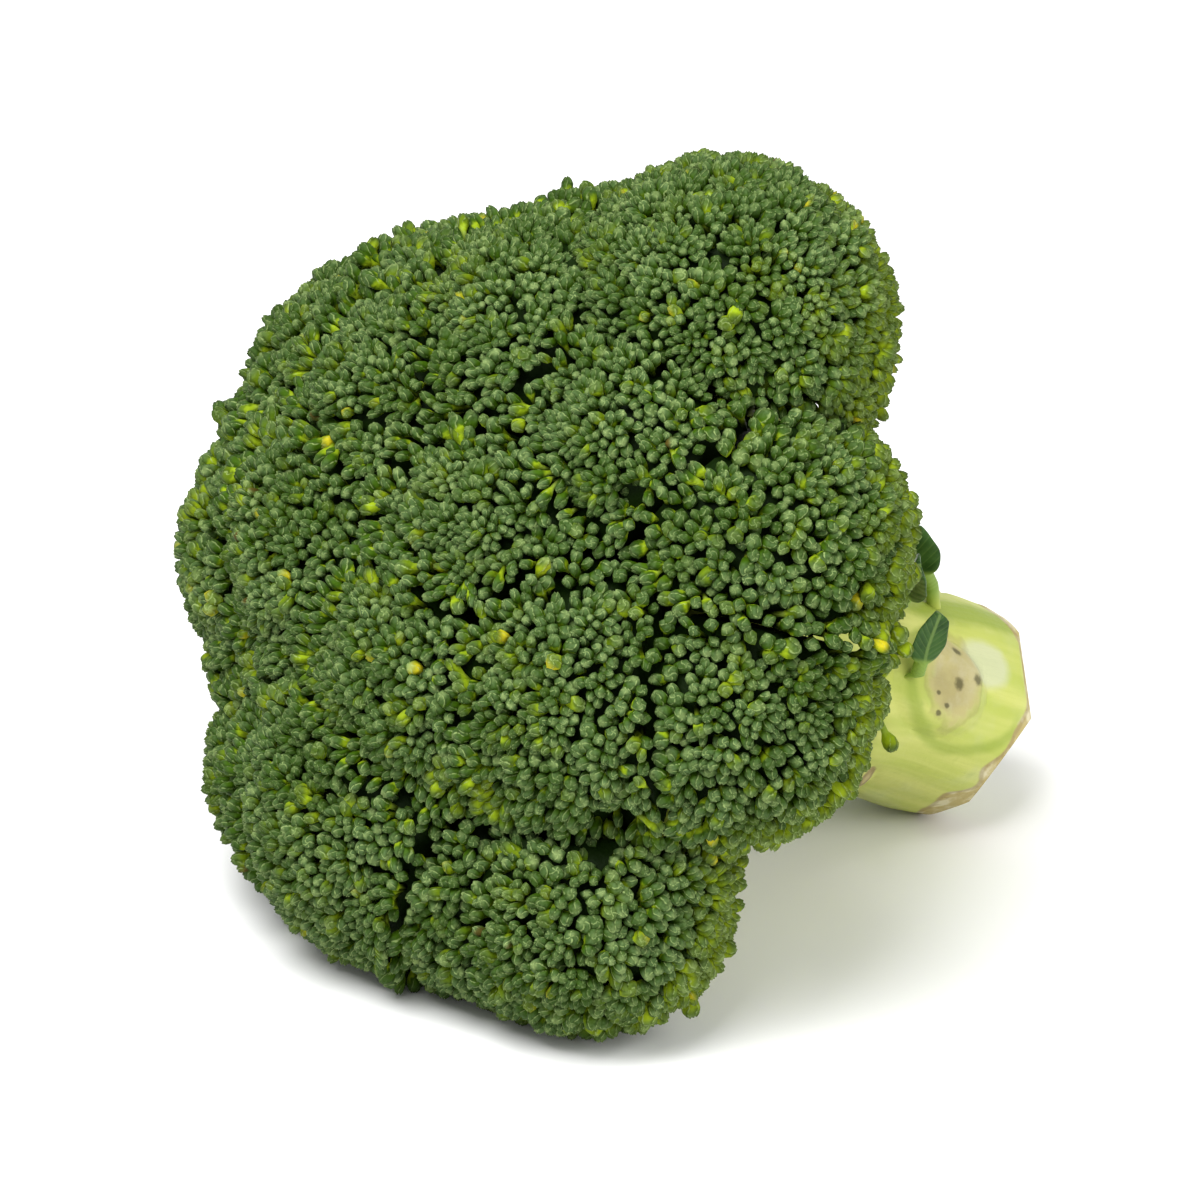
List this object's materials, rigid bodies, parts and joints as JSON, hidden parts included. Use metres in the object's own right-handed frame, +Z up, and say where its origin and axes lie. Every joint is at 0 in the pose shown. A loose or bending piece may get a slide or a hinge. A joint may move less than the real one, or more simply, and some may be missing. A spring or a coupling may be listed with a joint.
{
  "type": "broccoli head",
  "caption": "Head of broccoli lying on its side: a domed crown of florets covered in small buds on a thick branching stalk with a trimmed cut end and a few small leaves.",
  "frame": {"origin": "centre of the object's box, on the surface it lies on", "axes": "+Z up from the surface; +X along the surface from the crown towards the stalk's cut end; +Y to the left of someone looking along +X"},
  "size_m": [0.1718, 0.1629, 0.1579],
  "materials": {
    "florets": "matte, waxy blue-green buds with yellow-green flecks and edges",
    "stalk": "smooth, moist pale yellow-green with tan scars",
    "small_leaves": "satin dark green"
  },
  "bodies": {
    "root": {"floret_top_1": "florets", "floret_top_2": "florets", "floret_middle_1": "florets", "floret_middle_2": "florets", "floret_middle_3": "florets", "floret_middle_4": "florets", "floret_middle_5": "florets", "floret_middle_6": "florets", "floret_rim_1": "florets", "floret_rim_2": "florets", "floret_rim_3": "florets", "floret_rim_4": "florets", "floret_rim_5": "florets", "floret_rim_6": "florets", "floret_rim_7": "florets", "floret_rim_8": "florets", "floret_rim_9": "florets", "floret_rim_10": "florets", "stalk": "stalk", "small_leaf_1": "small_leaves", "small_leaf_2": "small_leaves", "small_leaf_3": "small_leaves", "small_leaf_4": "small_leaves"}
  },
  "joints": []
}
